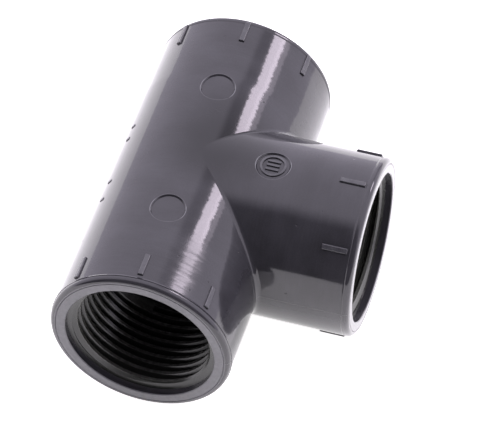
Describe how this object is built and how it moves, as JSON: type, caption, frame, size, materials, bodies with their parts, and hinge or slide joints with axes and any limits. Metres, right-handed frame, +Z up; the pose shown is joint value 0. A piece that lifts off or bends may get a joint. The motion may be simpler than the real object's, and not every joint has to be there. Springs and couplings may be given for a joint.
{
  "type": "pvc tee fitting",
  "caption": "Equal tee of dark grey moulded plastic with a female pipe thread in each port, shallow index ribs round the ports and round recesses on top.",
  "frame": {"origin": "where the axis of the run crosses the axis of the branch", "axes": "+X along the run to the right port, -Y along the branch to its port, +Z up, square to both, with the tee lying flat"},
  "size_m": [0.0664, 0.0506, 0.0342],
  "materials": {
    "grey_pvc": "gloss"
  },
  "bodies": {
    "root": {"centre_body": "grey_pvc", "left_socket": "grey_pvc", "left_thread": "grey_pvc", "left_rib_1": "grey_pvc", "left_rib_2": "grey_pvc", "left_rib_3": "grey_pvc", "left_rib_4": "grey_pvc", "left_rib_5": "grey_pvc", "left_rib_6": "grey_pvc", "right_socket": "grey_pvc", "right_thread": "grey_pvc", "right_rib_1": "grey_pvc", "right_rib_2": "grey_pvc", "right_rib_3": "grey_pvc", "right_rib_4": "grey_pvc", "right_rib_5": "grey_pvc", "right_rib_6": "grey_pvc", "branch_socket": "grey_pvc", "branch_thread": "grey_pvc", "branch_rib_1": "grey_pvc", "branch_rib_2": "grey_pvc", "branch_rib_3": "grey_pvc", "branch_rib_4": "grey_pvc", "branch_rib_5": "grey_pvc", "branch_rib_6": "grey_pvc", "side_bar_1": "grey_pvc", "side_bar_2": "grey_pvc", "side_bar_3": "grey_pvc", "side_bar_4": "grey_pvc", "branch_mark_ring": "grey_pvc", "branch_mark_bar_1": "grey_pvc", "branch_mark_bar_2": "grey_pvc", "branch_mark_bar_3": "grey_pvc"}
  },
  "joints": []
}
